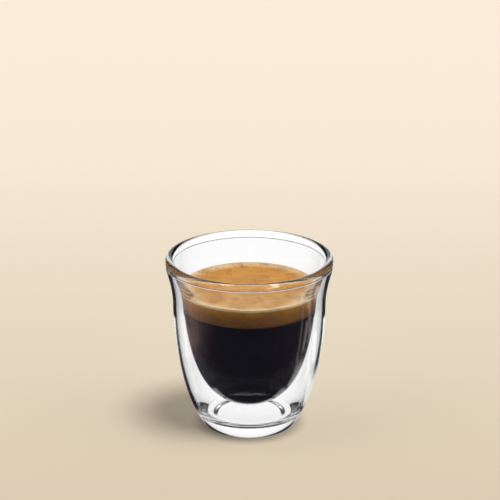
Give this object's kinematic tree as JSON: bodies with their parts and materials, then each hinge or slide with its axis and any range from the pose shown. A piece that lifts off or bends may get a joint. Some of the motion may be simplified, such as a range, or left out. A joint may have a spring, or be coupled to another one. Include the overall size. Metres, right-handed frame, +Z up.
{
  "type": "espresso in a double-walled glass",
  "caption": "Round double-walled glass with a flared rim and a thick base, filled with dark espresso under a layer of golden crema.",
  "frame": {"origin": "centre of the flat ring that the glass stands on", "axes": "+Z up along the axis of the glass; X and Y are level, and the glass is round about Z"},
  "size_m": [0.062, 0.062, 0.066],
  "materials": {
    "clear_glass": "clear and polished, blown borosilicate",
    "black_coffee": "liquid, almost black, brown at its edges",
    "crema_foam": "fine foam, golden hazel, brown towards the coffee"
  },
  "bodies": {
    "root": {"double_wall_glass": "clear_glass", "coffee": "black_coffee", "crema": "crema_foam"}
  },
  "joints": []
}
